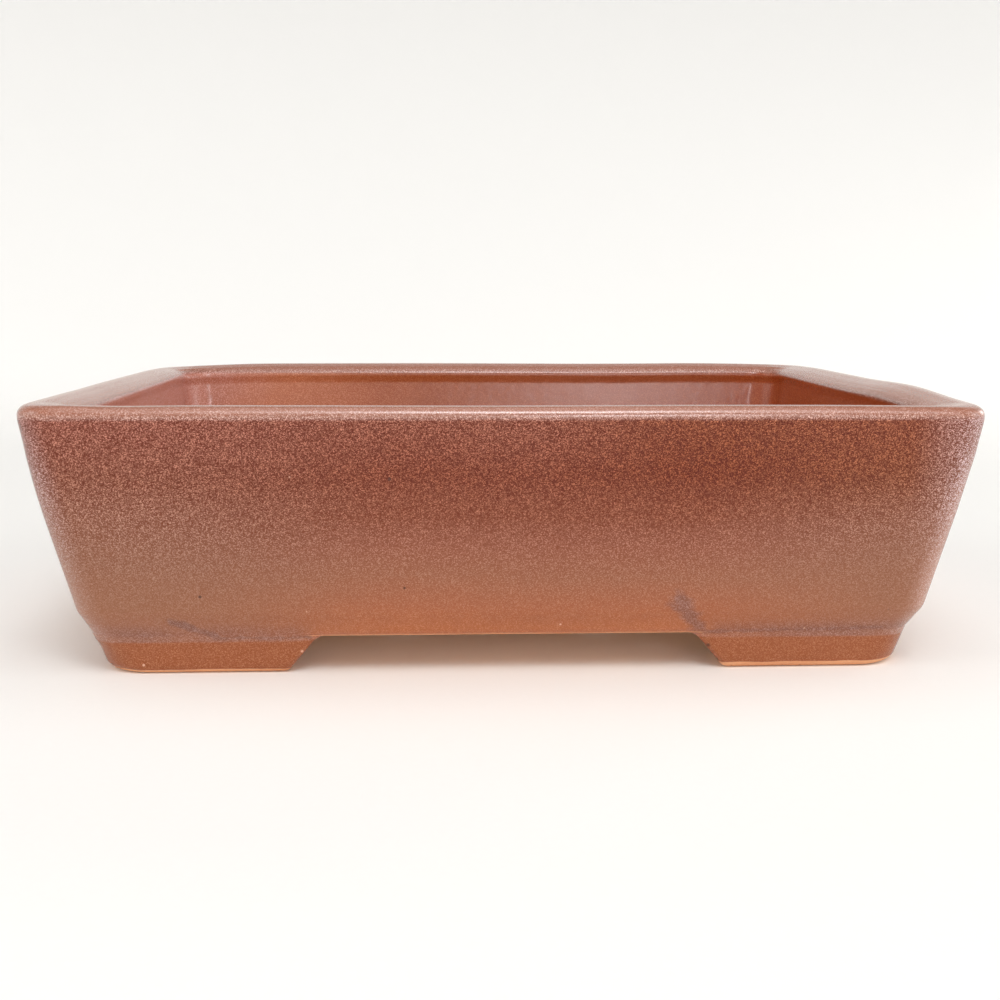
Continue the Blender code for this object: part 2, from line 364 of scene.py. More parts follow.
def build_body(glaze):
    """The four walls and the rim, as pieces of one grid."""
    places, normals = perimeter()
    foot, gap = wall_outline(True), wall_outline(False)
    crest = int(np.argmax(foot[:, 1]))
    inner = smoothstep(0, INNER_BLEND_STEPS, np.arange(len(foot)) - crest)
    trial = ring_points(places, normals, foot[:, 0], foot[:, 1], inner)
    share = foot_share_at(trial[..., 0], trial[..., 1], normals)
    inset = gap[:, 0] + (foot[:, 0] - gap[:, 0]) * share
    height = gap[:, 1] + (foot[:, 1] - gap[:, 1]) * share
    points = hand(ring_points(places, normals, inset, height, inner))
    shading = grid_normals(points, True)
    outer_seam = int(np.argmin(np.abs(foot[:crest, 1] - RIM_SEAM)))
    inner_seam = crest + int(np.argmin(np.abs(foot[crest:, 1] - RIM_SEAM)))
    last = len(foot) - 1
    rim = add_piece("glazed_rim", points, shading, [(outer_seam, inner_seam)], True, glaze)
    stand_in(rim, "rim")
    starts = quarter_starts()
    count = starts[-1]
    for side, start, end in zip(("front", "right", "back", "left"), starts, starts[1:]):
        rows = np.arange(start, end + 1) % count
        wall = add_piece(
            f"glazed_wall_{side}",
            points[rows],
            shading[rows],
            [(0, outer_seam), (inner_seam, last)],
            False,
            glaze,
        )
        stand_in(wall, f"wall_{side}")


def foot_end():
    """The slanted end of a foot, as (distance into the gap, height of the foot's lower surface)."""
    points = rounded(
        [
            (-3 * MM, 0, 0),
            (0, 0, 2.0 * MM),
            (FOOT_END_SLANT, UNDERSIDE, 4 * MM),
            (FOOT_END_SLANT + 6 * MM, UNDERSIDE, 0),
        ],
        arc_steps=10,
        run_steps=[1, 8, 1],
    )
    return points[1:-1]


def foot_section(lower, share):
    """Section of a foot whose lower surface is at this height, as (inset, height) points."""
    height = max(UNDERSIDE - lower, 0.01 * MM)
    top = OPEN_EDGE_INSET + (FOOT_TOP_INSET + 0.02 * MM - OPEN_EDGE_INSET) * share
    base = top + (FOOT_BASE_INSET - FOOT_TOP_INSET) * height / UNDERSIDE
    inner = FOOT_BASE_INSET + FOOT_DEPTH
    small = min(1.0, height / UNDERSIDE)
    corners = [
        (inner + 3 * MM, UNDERSIDE + 3 * FOOT_SINK, 0),
        (inner, UNDERSIDE + FOOT_SINK, FOOT_FILLET * small),
        (inner, UNDERSIDE - height, SOLE_INNER_EDGE * small),
        (base, UNDERSIDE - height, SOLE_OUTER_EDGE * small),
        (top, UNDERSIDE, 0),
    ]
    return rounded(corners, arc_steps=6, run_steps=[1, 3, 4, 6])


def build_foot(name, sign_x, sign_y, glaze):
    """One bracket foot: a section carried from one slanted end round the corner to the other."""
    end = foot_end()
    sections, xs, ys = [], [], []

    def station(section, x, y):
        sections.append(section)
        xs.append(x)
        ys.append(y)

    for into_gap, lower in end[::-1]:
        section = foot_section(lower, foot_share(into_gap))
        station(section, np.full(len(section), FRONT_GAP - into_gap), HALF_WIDTH - section[:, 0])
    whole = foot_section(0, 1.0)
    radius = corner_radius(sign_y)
    insets = [FOOT_TOP_INSET, FOOT_BASE_INSET, FOOT_BASE_INSET + FOOT_DEPTH]
    radii = [radius, radius + FOOT_BASE_CORNER, FOOT_INNER_CORNER]
    arc_radius = np.interp(whole[:, 0], insets, radii)
    centre_x = HALF_LENGTH - whole[:, 0] - arc_radius
    centre_y = HALF_WIDTH - whole[:, 0] - arc_radius
    first_x, first_y = xs[-1], SIDE_GAP - end[0][0]
    for step in range(1, FOOT_LONG_STEPS):
        along = first_x + (centre_x - first_x) * step / FOOT_LONG_STEPS
        station(whole, along, HALF_WIDTH - whole[:, 0])
    for step in range(2 * HALF_CORNER_STEPS + 1):
        angle = math.pi / 2 * (1 - step / (2 * HALF_CORNER_STEPS))
        x = centre_x + arc_radius * math.cos(angle)
        y = centre_y + arc_radius * math.sin(angle)
        station(whole, x, y)
    for step in range(1, FOOT_SHORT_STEPS):
        along = centre_y + (first_y - centre_y) * step / FOOT_SHORT_STEPS
        station(whole, HALF_LENGTH - whole[:, 0], along)
    for into_gap, lower in end:
        section = foot_section(lower, foot_share(into_gap))
        station(section, HALF_LENGTH - section[:, 0], np.full(len(section), SIDE_GAP - into_gap))
    heights = np.array([section[:, 1] for section in sections])
    points = np.stack((np.array(xs) * sign_x, np.array(ys) * sign_y, heights), -1)
    if sign_x * sign_y > 0:
        points = points[::-1]
    points = hand(points)
    shading = grid_normals(points, False)
    columns = points.shape[1] - 1
    foot = add_piece(f"glazed_{name}", points, shading, [(0, columns)], False, glaze)
    return stand_in(foot, name)


# ---------------------------------------------------------------- floor, screens and clips

DRAIN_X = (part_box("drain_screen_right")[0].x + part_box("drain_screen_right")[1].x) / 2
DRAIN_RADIUS = 9.5 * MM
WIRE_HOLE_X = 21 * MM
WIRE_HOLE_Y = 30 * MM
WIRE_HOLE_RADIUS = 2 * MM


def lathe(name, outline, sides=64):
    """A closed turned solid, from an outline of (radius, height) that starts and ends on the axis."""
    bm = bmesh.new()
    verts = [bm.verts.new((radius, 0, z)) for radius, z in outline]
    edges = [bm.edges.new(pair) for pair in zip(verts, verts[1:])]
    bmesh.ops.spin(
        bm, geom=verts + edges, cent=(0, 0, 0), axis=(0, 0, 1), angle=2 * math.pi, steps=sides
    )
    bmesh.ops.remove_doubles(bm, verts=bm.verts, dist=1e-6)
    bmesh.ops.recalc_face_normals(bm, faces=bm.faces)
    mesh = bpy.data.meshes.new(name)
    bm.to_mesh(mesh)
    bm.free()
    return mesh


def hole_outline(radius, edge):
    """A hole through the floor with both edges rounded over."""
    top, low = FLOOR_TOP + 0.04 * MM, UNDERSIDE - 0.04 * MM
    wide = radius + 2 * edge
    corners = [(wide, top, 0), (radius, top, edge), (radius, low, edge), (wide, low, 0)]
    curve = rounded(corners, arc_steps=8)
    over, below = FLOOR_TOP + 4 * MM, UNDERSIDE - 4 * MM
    return [(0, over), (wide, over), *curve.tolist(), (wide, below), (0, below)]


def cut_holes(floor):
    drain = lathe("drain_cutter", hole_outline(DRAIN_RADIUS, 0.8 * MM))
    wire = lathe("wire_cutter", hole_outline(WIRE_HOLE_RADIUS, 0.5 * MM), 32)
    holes = [(drain, sign * DRAIN_X, 0) for sign in (-1, 1)]
    holes += [(wire, sx * WIRE_HOLE_X, sy * WIRE_HOLE_Y) for sx in (-1, 1) for sy in (-1, 1)]
    cutters = []
    for mesh, x, y in holes:
        cutter = bpy.data.objects.new("cutter", mesh)
        cutter.location = (x, y, 0)
        bpy.context.scene.collection.objects.link(cutter)
        modifier = floor.modifiers.new("hole", "BOOLEAN")
        modifier.object = cutter
        cutters.append(cutter)
    bpy.context.view_layer.update()
    cut = bpy.data.meshes.new_from_object(floor.evaluated_get(bpy.context.evaluated_depsgraph_get()))
    floor.modifiers.clear()
    floor.data = cut
    cut.shade_smooth()
    cut.set_sharp_from_angle(angle=math.radians(40))
    for cutter in cutters:
        bpy.data.objects.remove(cutter)


def build_floor(clay):
    """The floor, with a cove up to the walls and rounded holes."""
    places, normals = perimeter()
    outline = rounded(
        [(COVE_INSET, COVE_TOP, 0), (13.84 * MM, FLOOR_TOP, 2.6 * MM), (20 * MM, FLOOR_TOP, 0)],
        arc_steps=8,
        run_steps=[2, 3],
    )
    top = hand(ring_points(places, normals, outline[:, 0], outline[:, 1], 1.0))
    under = hand(ring_points(places, normals, np.array([WALL_INNER_END]), np.array([UNDERSIDE])))
    points = np.concatenate((under, top), 1)
    count, width = points.shape[:2]
    faces = [
        (k * width + m, ((k + 1) % count) * width + m, ((k + 1) % count) * width + m + 1, k * width + m + 1)
        for k in range(count)
        for m in range(width - 1)
    ]
    faces.append([k * width + width - 1 for k in range(count)])
    faces.append([k * width for k in range(count)][::-1])
    mesh = bpy.data.meshes.new("clay_floor")
    mesh.from_pydata(points.reshape(-1, 3).tolist(), [], faces)
    mesh.materials.append(clay)
    floor = bpy.data.objects.new("clay_floor", mesh)
    bpy.context.scene.collection.objects.link(floor)
    cut_holes(floor)
    stand_in(floor, "floor_slab")


SCREEN_CELLS = 9
SCREEN_STRAND = 0.9 * MM


def build_screen(side, plastic):
    """Moulded netting: a grid of strands with the corners of each opening rounded."""
    node = f"drain_screen_{side}"
    low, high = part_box(node)
    half = (high.x - low.x) / 2
    bm = bmesh.new()
    bmesh.ops.create_grid(bm, x_segments=SCREEN_CELLS, y_segments=SCREEN_CELLS, size=half)
    cells = bm.faces[:]
    bmesh.ops.inset_individual(bm, faces=cells, thickness=SCREEN_STRAND / 2)
    bmesh.ops.delete(bm, geom=cells, context="FACES_ONLY")
    mesh = bpy.data.meshes.new("netting")
    bm.to_mesh(mesh)
    bm.free()
    mesh.materials.append(plastic)
    netting = bpy.data.objects.new(f"netting_{side}", mesh)
    netting.location = ((low.x + high.x) / 2, (low.y + high.y) / 2, low.z)
    bpy.context.scene.collection.objects.link(netting)
    solidify = netting.modifiers.new("thickness", "SOLIDIFY")
    solidify.thickness = high.z - low.z
    solidify.offset = 1.0
    soften = netting.modifiers.new("soften", "SUBSURF")
    soften.levels = soften.render_levels = 3
    bpy.context.view_layer.update()
    smooth = bpy.data.meshes.new_from_object(netting.evaluated_get(bpy.context.evaluated_depsgraph_get()))
    netting.modifiers.clear()
    netting.data = smooth
    smooth.shade_smooth()
    stand_in(netting, node)


WIRE_RADIUS = 0.7 * MM
CLIP_LEG_X = 7.2 * MM
CLIP_LOOP_RADIUS = 3.4 * MM


def clip_route(top, under, reach):
    """Half of a clip's wire, from the end of a bent leg to the middle, about the hole's axis."""
    bend, turn = 1.6 * MM, math.radians(300)
    leg = [(reach, 0, under)]
    for step in range(7):
        angle = -math.pi / 2 * (1 + step / 6)
        across = CLIP_LEG_X + bend * (1 + math.cos(angle))
        leg.append((across, 0, under + bend * (1 + math.sin(angle))))
    leg.append((CLIP_LEG_X, 0, top - 1.4 * MM))
    leg.append((CLIP_LEG_X, -0.35 * MM, top - 0.35 * MM))
    loop = []
    for step in range(4, 41):
        angle = math.pi + turn * step / 40
        x = CLIP_LEG_X + CLIP_LOOP_RADIUS * (1 + math.cos(angle))
        loop.append((x, CLIP_LOOP_RADIUS * math.sin(angle), top))
    return leg + loop


def build_clip(side, hand_sign, metal):
    node = f"screen_clip_{side}"
    low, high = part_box(node)
    middle = (low + high) / 2
    half = clip_route(high.z - WIRE_RADIUS, low.z + WIRE_RADIUS, (high.x - low.x) / 2 - 0.1 * MM)
    half = [(hand_sign * x, y, z) for x, y, z in half]
    route = half + [(-x, -y, z) for x, y, z in reversed(half)]
    curve = bpy.data.curves.new("clip", "CURVE")
    curve.dimensions = "3D"
    curve.bevel_depth = WIRE_RADIUS
    curve.bevel_resolution = 5
    curve.use_fill_caps = True
    spline = curve.splines.new("POLY")
    spline.points.add(len(route) - 1)
    for point, place in zip(spline.points, route):
        point.co = (*place, 1)
    wire = bpy.data.objects.new("clip", curve)
    bpy.context.scene.collection.objects.link(wire)
    bpy.context.view_layer.update()
    mesh = bpy.data.meshes.new_from_object(wire.evaluated_get(bpy.context.evaluated_depsgraph_get()))
    bpy.data.objects.remove(wire)
    bm = bmesh.new()
    bm.from_mesh(mesh)
    bmesh.ops.remove_doubles(bm, verts=bm.verts, dist=1e-6)
    bm.to_mesh(mesh)
    bm.free()
    mesh.shade_smooth()
    mesh.set_sharp_from_angle(angle=math.radians(40))
    mesh.materials.clear()
    mesh.materials.append(metal)
    clip = bpy.data.objects.new(f"wire_clip_{side}", mesh)
    clip.location.x = middle.x
    bpy.context.scene.collection.objects.link(clip)
    stand_in(clip, node)


# ---------------------------------------------------------------- materials


def srgb(red, green, blue):
    """A linear colour from display values of 0 to 255."""

    def linear(value):
        value /= 255
        return value / 12.92 if value <= 0.04045 else ((value + 0.055) / 1.055) ** 2.4

    return linear(red), linear(green), linear(blue), 1.0


class Nodes:
    """Short calls that build one material's nodes. Lengths in the nodes are in millimetres."""

    def __init__(self, name):
        self.material = bpy.data.materials.new(name)
        self.material.use_nodes = True
        self.tree = self.material.node_tree
        self.shader = self.tree.nodes["Principled BSDF"]
        coordinates = self.tree.nodes.new("ShaderNodeTexCoord")
        self.place = self.vector("SCALE", coordinates.outputs["Object"], scale=1000)
        self.x, self.y, self.z = self.split(self.place)

    def put(self, socket, value):
        if isinstance(value, bpy.types.NodeSocket):
            self.tree.links.new(value, socket)
        else:
            socket.default_value = value

    def set(self, **inputs):
        for name, value in inputs.items():
            self.put(self.shader.inputs[name.replace("_", " ")], value)

    def vector(self, operation, *values, scale=None):
        node = self.tree.nodes.new("ShaderNodeVectorMath")
        node.operation = operation
        for socket, value in zip(node.inputs, values):
            self.put(socket, value)
        if scale is not None:
            node.inputs["Scale"].default_value = scale
        return node.outputs["Value" if operation in ("DOT_PRODUCT", "LENGTH") else "Vector"]

    def split(self, value):
        node = self.tree.nodes.new("ShaderNodeSeparateXYZ")
        self.put(node.inputs[0], value)
        return node.outputs

    def math(self, operation, *values, clamp=False):
        node = self.tree.nodes.new("ShaderNodeMath")
        node.operation = operation
        node.use_clamp = clamp
        for socket, value in zip(node.inputs, values):
            self.put(socket, value)
        return node.outputs[0]

    def add(self, *values):
        total = values[0]
        for value in values[1:]:
            total = self.math("ADD", total, value)
        return total

    def times(self, *values):
        total = values[0]
        for value in values[1:]:
            total = self.math("MULTIPLY", total, value)
        return total

    def step(self, value, low, high, to_low=0.0, to_high=1.0):
        node = self.tree.nodes.new("ShaderNodeMapRange")
        node.interpolation_type = "SMOOTHSTEP"
        self.put(node.inputs["Value"], value)
        self.put(node.inputs["From Min"], low)
        self.put(node.inputs["From Max"], high)
        self.put(node.inputs["To Min"], to_low)
        self.put(node.inputs["To Max"], to_high)
        return node.outputs["Result"]

    def mix(self, share, first, second, blend="MIX"):
        node = self.tree.nodes.new("ShaderNodeMix")
        node.data_type = "RGBA"
        node.blend_type = blend
        node.clamp_factor = True
        self.put(node.inputs[0], share)
        self.put(node.inputs[6], first)
        self.put(node.inputs[7], second)
        return node.outputs[2]

    def noise(self, size, detail=2.0, rough=0.5, offset=0.0):
        """Noise from -1 to 1 or so, whose features are about this many millimetres across."""
        node = self.tree.nodes.new("ShaderNodeTexNoise")
        node.inputs["Scale"].default_value = 1 / size
        node.inputs["Detail"].default_value = detail
        node.inputs["Roughness"].default_value = rough
        place = self.vector("ADD", self.place, (offset, offset * 0.7, offset * 1.3))
        self.put(node.inputs["Vector"], place)
        return self.math("MULTIPLY_ADD", node.outputs["Fac"], 2.0, -1.0)

    def cells(self, size, offset=0.0):
        """Cells of about this size: distance to the middle, in millimetres, and random values."""
        node = self.tree.nodes.new("ShaderNodeTexVoronoi")
        node.inputs["Scale"].default_value = 1 / size
        place = self.vector("ADD", self.place, (offset, offset * 1.7, offset * 0.6))
        self.put(node.inputs["Vector"], place)
        distance = self.times(node.outputs["Distance"], size)
        chance = self.split(node.outputs["Color"])
        return distance, chance

    def ramp(self, value, stops):
        """Colour along a value: stops are (value, colour)."""
        low, high = stops[0][0], stops[-1][0]
        node = self.tree.nodes.new("ShaderNodeValToRGB")
        span = self.tree.nodes.new("ShaderNodeMapRange")
        self.put(span.inputs["Value"], value)
        self.put(span.inputs["From Min"], low)
        self.put(span.inputs["From Max"], high)
        self.put(node.inputs["Fac"], span.outputs["Result"])
        elements = node.color_ramp.elements
        while len(elements) < len(stops):
            elements.new(0.5)
        for element, (at, colour) in zip(elements, stops):
            element.position = (at - low) / (high - low)
            element.color = colour
        return node.outputs["Color"]

    def line(self, start, end, width):
        """1 on a line in the plane of the front, fading to 0 at this distance from it."""
        along = (end[0] - start[0], end[1] - start[1])
        length = along[0] ** 2 + along[1] ** 2
        dx, dz = self.math("SUBTRACT", self.x, start[0]), self.math("SUBTRACT", self.z, start[1])
        share = self.add(self.times(dx, along[0] / length), self.times(dz, along[1] / length))
        share = self.math("MINIMUM", self.math("MAXIMUM", share, 0.0), 1.0)
        off_x = self.math("MULTIPLY_ADD", share, -along[0], dx)
        off_z = self.math("MULTIPLY_ADD", share, -along[1], dz)
        distance = self.math("SQRT", self.add(self.times(off_x, off_x), self.times(off_z, off_z)))
        wavy = self.math("MULTIPLY_ADD", self.noise(2.5, 3, offset=7), 0.8 * width, distance)
        return self.step(wavy, width, 0.1 * width)

    def bump(self, height, distance, strength=1.0, below=None):
        node = self.tree.nodes.new("ShaderNodeBump")
        node.inputs["Strength"].default_value = strength
        node.inputs["Distance"].default_value = distance
        self.put(node.inputs["Height"], height)
        if below is not None:
            self.put(node.inputs["Normal"], below)
        return node.outputs["Normal"]


def clay_look(nodes):
    """Colour, roughness and height of bare fired clay with fine grog."""
    grain = nodes.noise(0.5, 3, 0.6)
    patch = nodes.noise(14, 3, offset=31)
    colour = nodes.mix(nodes.step(patch, -0.5, 0.5), srgb(212, 146, 104), srgb(226, 168, 126))
    distance, chance = nodes.cells(1.1, 5)
    grit = nodes.times(nodes.step(distance, 0.32, 0.12), nodes.step(chance[1], 0.7, 0.8))
    colour = nodes.mix(nodes.times(grit, 0.55), colour, srgb(128, 84, 60))
    colour = nodes.mix(nodes.step(grain, 0.0, 0.7, 0.0, 0.35), colour, srgb(238, 200, 164))
    height = nodes.add(nodes.times(grain, 0.6), nodes.times(grit, 0.5))
    return colour, 0.85, height


# The glaze down the middle and near the ends of each side: (height, colour)
GLAZE_MIDDLE = [
    (8, srgb(172, 100, 62)),
    (14, srgb(156, 92, 62)),
    (20, srgb(146, 90, 64)),
    (26, srgb(140, 80, 56)),
    (32, srgb(127, 63, 38)),
    (40, srgb(117, 50, 26)),
    (50, srgb(126, 60, 37)),
]
GLAZE_ENDS = [
    (8, srgb(158, 102, 76)),
    (14, srgb(144, 94, 68)),
    (24, srgb(140, 90, 66)),
    (32, srgb(136, 80, 56)),
    (40, srgb(128, 66, 42)),
    (50, srgb(130, 64, 42)),
]
# The glaze inside, from the left wall to the right wall, with a painted sheen that makes it paler and
# pinker towards the left wall: (place along the pot, colour)
GLAZE_INSIDE_WITH_SHEEN = [
    (-80, srgb(174, 112, 94)),
    (-60, srgb(172, 100, 66)),
    (-40, srgb(162, 90, 56)),
    (-20, srgb(144, 72, 38)),
    (30, srgb(144, 74, 44)),
    (60, srgb(142, 68, 36)),
    (80, srgb(148, 66, 30)),
]
# How much of the glaze is crystals: (height, share)
CRYSTALS = [(8, 0.15), (14, 0.15), (20, 0.2), (26, 0.35), (32, 0.6), (40, 0.85), (50, 0.9)]

# Specks on the front: (place along the front, height, radius, whether it is dark)
FRONT_SPECKS = [
    (-58, 16.5, 0.35, True),
    (-22, 39.5, 0.4, True),
    (-19.5, 18, 0.3, True),
    (40, 5, 0.4, True),
    (-70, 2, 0.3, False),
    (-39.5, 4.5, 0.3, False),
    (10.5, 10, 0.25, False),
]


def grey(value):
    return value, value, value, 1.0


# Where the glaze pools above the feet: lines on the front, as (start, end, width) of (x, z)
POOLS = [
    ((-64, 11.2), (-55, 7.6), 1.4),
    ((-56, 7.5), (-38, 7.4), 1.0),
    ((33, 15.3), (37.5, 9.0), 2.6),
    ((38, 7.9), (74, 8.6), 1.0),
]

# Iron specks and pale specks: (offset, spacing, radius, share of places left empty, colour)
SPECKS = [
    (41, 9.0, 0.14, 0.72, srgb(52, 30, 26)),
    (87, 7.0, 0.10, 0.65, srgb(214, 168, 140)),
]


def glaze_run(n, level, front):
    """Colour and share of crystals where the glaze has run down the walls, with a painted sheen at the
    right end of the front.
    """
    span_x = n.times(n.math("ABSOLUTE", n.math("SUBTRACT", n.x, 8.0)), 1 / 80)
    span_y = n.times(n.math("ABSOLUTE", n.y), 1 / 62)
    span = n.mix(n.step(n.math("SUBTRACT", span_x, span_y), -0.05, 0.05), span_x, span_y)
    ends = n.step(span, 0.3, 0.95)
    colour = n.mix(ends, n.ramp(level, GLAZE_MIDDLE), n.ramp(level, GLAZE_ENDS))
    crystal = n.ramp(level, [(height, grey(share)) for height, share in CRYSTALS])

    # More rust over the right half of the front, and a painted sheen, a pale reflection, at its end
    rust = n.times(n.step(n.x, 0, 40), n.step(n.x, 88, 76), n.step(level, 28, 44), front)
    rust = n.times(rust, n.step(n.noise(25, 2, offset=71), -0.9, 0.1))
    colour = n.mix(rust, colour, n.mix(1.0, colour, (0.88, 0.72, 0.48, 1), "MULTIPLY"))
    painted_end_sheen = n.times(n.step(n.x, 74, 88), front, 0.45)
    return n.mix(painted_end_sheen, colour, srgb(166, 118, 98)), crystal


def pooled_glaze(n, front, facing_in):
    """How much of the glaze has pooled: lines on the front, and a faint band above every foot."""
    pool = 0.0
    for start, end, width in POOLS:
        pool = n.math("MAXIMUM", pool, n.line(start, end, width))
    pool = n.times(pool, front, 0.62)
    past_gap_x = n.step(n.math("ABSOLUTE", n.x), 36, 42)
    past_gap_y = n.step(n.math("ABSOLUTE", n.y), 23, 29)
    over_foot = n.math("MINIMUM", past_gap_x, past_gap_y)
    band = n.times(n.step(n.z, 6.4, 7.0), n.step(n.z, 11.5, 8.2), over_foot)
    band = n.times(band, n.step(n.noise(11, 3, offset=23), -0.9, 0.4), 0.55)
    return n.math("MAXIMUM", pool, n.times(band, n.math("SUBTRACT", 1.0, facing_in)))


def add_specks(n, colour, front):
    for offset, spacing, radius, empty, tint in SPECKS:
        distance, odds = n.cells(spacing, offset)
        reach = n.math("MULTIPLY_ADD", odds[1], 1.2 * radius, radius)
        near = n.step(n.math("SUBTRACT", distance, reach), 0.1, -0.05)
        colour = n.mix(n.times(near, n.step(odds[0], empty, empty + 0.05), 0.7), colour, tint)
    for along, height, radius, is_dark in FRONT_SPECKS:
        dx, dz = n.math("SUBTRACT", n.x, along), n.math("SUBTRACT", n.z, height)
        distance = n.math("SQRT", n.add(n.times(dx, dx), n.times(dz, dz)))
        near = n.times(n.step(distance, 1.2 * radius, 0.4 * radius), front, 0.75)
        colour = n.mix(near, colour, srgb(58, 36, 32) if is_dark else srgb(226, 184, 158))
    return colour


def bare_places(n, nz):
    """1 at the soles and underneath, where there is no glaze."""
    strip = n.math("SUBTRACT", n.step(n.x, -30, 30, 1.0, 1.45), n.times(n.noise(6, 3, offset=51), 0.35))
    sole = n.step(n.math("SUBTRACT", n.z, strip), 0.0, -0.25)
    underneath = n.times(n.step(nz, -0.75, -0.9), n.step(n.z, 8.4, 8.0))
    return n.math("MAXIMUM", sole, underneath)


def glaze_material():
    """Red-brown glaze, thick and full of crystals above, thin and clear near the foot."""
    n = Nodes("crystal_glaze")
    nx, ny, nz = n.split(n.tree.nodes.new("ShaderNodeNewGeometry").outputs["Normal"])
    outward = n.add(n.times(nx, n.x), n.times(ny, n.y))
    facing_in = n.step(outward, -2.0, -10.0)
    front = n.step(n.y, -40.0, -50.0)
    ragged = n.noise(3.0, 4, 0.6, offset=11)
    level = n.add(n.z, n.times(n.noise(38, 2, offset=3), 3.0), n.times(ragged, 1.2))
    colour, crystal = glaze_run(n, level, front)

    # Painted sheen round the upright corners: paler colour and fewer crystals, stronger low down and
    # towards the right, where the corners catch reflected light
    corner = n.times(nx, nx, ny, ny, 4.0)
    corner = n.times(corner, n.step(n.z, 50, 38, 0.35, 1.0), n.step(n.x, -20, 20, 0.3, 0.5))
    colour = n.mix(corner, colour, srgb(204, 160, 140))
    crystal = n.mix(corner, crystal, grey(0.25))

    # The feet, where the glaze is thin
    foot = n.step(n.add(n.z, n.times(ragged, 0.35)), 7.0, 6.4)
    foot = n.math("MULTIPLY", foot, n.step(n.x, -100, -80, 0.98, 1.0))
    colour = n.mix(foot, colour, srgb(150, 84, 50))
    crystal = n.mix(foot, crystal, grey(0.22))

    # The inside, with a painted sheen towards the left wall, and the rim where the glaze breaks pale
    warm = n.add(n.x, n.times(n.noise(20, 3, offset=19), 14.0))
    inside = n.times(facing_in, n.step(n.z, 51.4, 50.2))
    colour = n.mix(inside, colour, n.ramp(warm, GLAZE_INSIDE_WITH_SHEEN))
    brim = n.step(n.add(n.z, n.times(ragged, 0.3)), 50.2, 51.2)
    brim = n.mix(facing_in, brim, n.step(n.z, 50.2, 51.4))
    colour = n.mix(brim, colour, srgb(156, 98, 74))
    crystal = n.mix(inside, crystal, grey(0.25))
    crystal = n.mix(brim, crystal, n.step(n.z, 52.4, 50.4, 0.3, 0.7))

    # The pools
    pool = pooled_glaze(n, front, facing_in)
    colour = n.mix(pool, colour, srgb(122, 84, 72))
    crystal = n.mix(pool, crystal, grey(0.35))

    # Fine crystals, then specks
    fleck = n.math("POWER", n.cells(0.15)[1][0], 3.0)
    dark = n.mix(crystal, grey(1), (0.45, 0.22, 0.12, 1))
    light = n.mix(crystal, grey(1), (2.9, 5.2, 8.0, 1))
    colour = n.mix(fleck, n.mix(1.0, colour, dark, "MULTIPLY"), n.mix(1.0, colour, light, "MULTIPLY"))
    colour = add_specks(n, colour, front)

    # Bare clay at the soles and underneath
    bare = bare_places(n, nz)
    clay, clay_rough, clay_height = clay_look(n)
    colour = n.mix(bare, colour, clay)

    gloss = n.step(level, 14.0, 40.0, 0.18, 0.24)
    gloss = n.mix(n.math("MAXIMUM", inside, foot), gloss, grey(0.22))
    gloss = n.mix(brim, gloss, grey(0.18))
    gloss = n.mix(bare, gloss, grey(clay_rough))
    peel = n.times(n.noise(2.2, 2, offset=61), n.mix(brim, grey(1), grey(0.3)))
    shiver = n.times(fleck, crystal, n.math("SUBTRACT", 1.0, bare))
    skin = n.bump(n.add(peel, n.times(shiver, 0.3)), 0.03 * MM)
    skin = n.bump(n.times(bare, clay_height), 0.06 * MM, below=skin)
    mirror = n.mix(brim, n.mix(inside, grey(0.3), grey(0.5)), grey(0.85))
    n.set(Base_Color=colour, Roughness=gloss, Normal=skin, Specular_IOR_Level=mirror)
    return n.material


def clay_material():
    n = Nodes("bare_clay_finish")
    colour, rough, height = clay_look(n)
    n.set(Base_Color=colour, Roughness=rough, Normal=n.bump(height, 0.08 * MM), Specular_IOR_Level=0.3)
    return n.material


def plastic_material():
    n = Nodes("netting_plastic")
    scuff = n.noise(1.2, 4, 0.6)
    colour = n.mix(n.step(scuff, -0.2, 0.6), (0.012, 0.014, 0.013, 1), (0.035, 0.038, 0.035, 1))
    rough = n.step(scuff, -0.5, 0.5, 0.42, 0.6)
    n.set(Base_Color=colour, Roughness=rough, Normal=n.bump(n.noise(0.4, 2), 0.02 * MM))
    return n.material


def wire_material():
    n = Nodes("clip_wire")
    drawn = n.noise(0.35, 3, 0.6)
    colour = n.mix(n.step(drawn, -0.6, 0.6), (0.62, 0.62, 0.63, 1), (0.78, 0.78, 0.79, 1))
    n.set(Base_Color=colour, Roughness=n.step(drawn, -0.6, 0.6, 0.28, 0.45), Metallic=1.0)
    return n.material


def paper_material():
    """Pale paper, lit from behind where it curves up, with a painted warm glow round the pot that stands in
    for light bounced off it.
    """
    n = Nodes("paper")
    away = n.math("SQRT", n.add(n.times(n.x, n.x), n.times(n.y, n.y)))
    glow = n.add(n.step(away, 200, 700, 0.0, 0.2), n.step(away, 700, 1600, 0.0, 0.03))
    # Painted bounce light: a warm glow on the paper under and round the pot
    warm = n.step(away, 150, 80)
    fibre = n.noise(1.5, 4, 0.6)
    n.set(
        Base_Color=n.mix(n.step(fibre, -0.6, 0.6), (0.856, 0.84, 0.81, 1), (0.864, 0.848, 0.818, 1)),
        Roughness=0.9,
        Normal=n.bump(fibre, 0.01 * MM),
        Emission_Color=n.mix(warm, (1.0, 0.995, 0.985, 1), (1.0, 0.68, 0.4, 1)),
        Emission_Strength=n.add(glow, n.times(warm, 0.06)),
    )
    return n.material


# ---------------------------------------------------------------- studio


